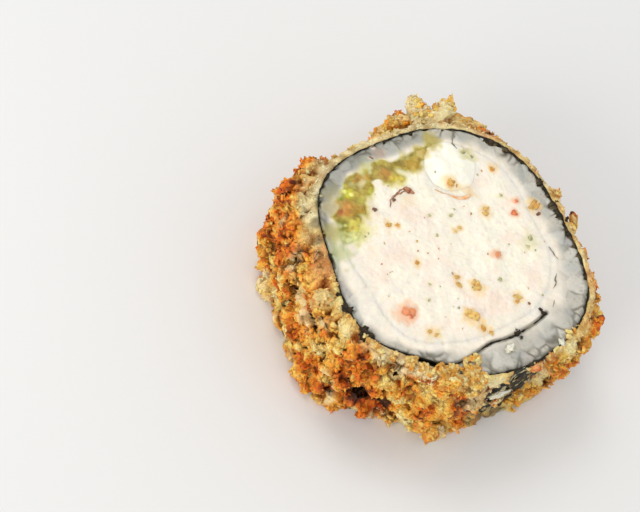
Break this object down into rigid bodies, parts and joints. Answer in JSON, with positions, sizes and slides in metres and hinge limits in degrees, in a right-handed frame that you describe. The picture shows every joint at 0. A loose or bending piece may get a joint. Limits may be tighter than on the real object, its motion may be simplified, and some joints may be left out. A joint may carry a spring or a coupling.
{
  "type": "fried sushi roll slice",
  "caption": "Short slice of a panko-fried futomaki lying on a cut face: crab filling, avocado and cream cheese in rice, nori and a craggy crust.",
  "frame": {"origin": "on the roll's axis, in the flat face that the slice rests on", "axes": "+Z along the roll's axis, up through the cut face that shows; +Y roughly towards the cream cheese"},
  "size_m": [0.0578, 0.0575, 0.0209],
  "materials": {
    "panko": "rough fried crumb, golden to brown",
    "nori": "satin, damp",
    "rice": "translucent, moist",
    "crab": "soft, moist, fibrous",
    "avocado": "soft, moist, mottled",
    "cream_cheese": "smooth, satin",
    "crab_skin": "soft, moist"
  },
  "bodies": {
    "root": {"panko_crust": "panko", "nori_sheet": "nori", "sushi_rice": "rice", "crab_filling": "crab", "avocado": "avocado", "cream_cheese": "cream_cheese", "crab_stick_skin": "crab_skin"}
  },
  "joints": []
}
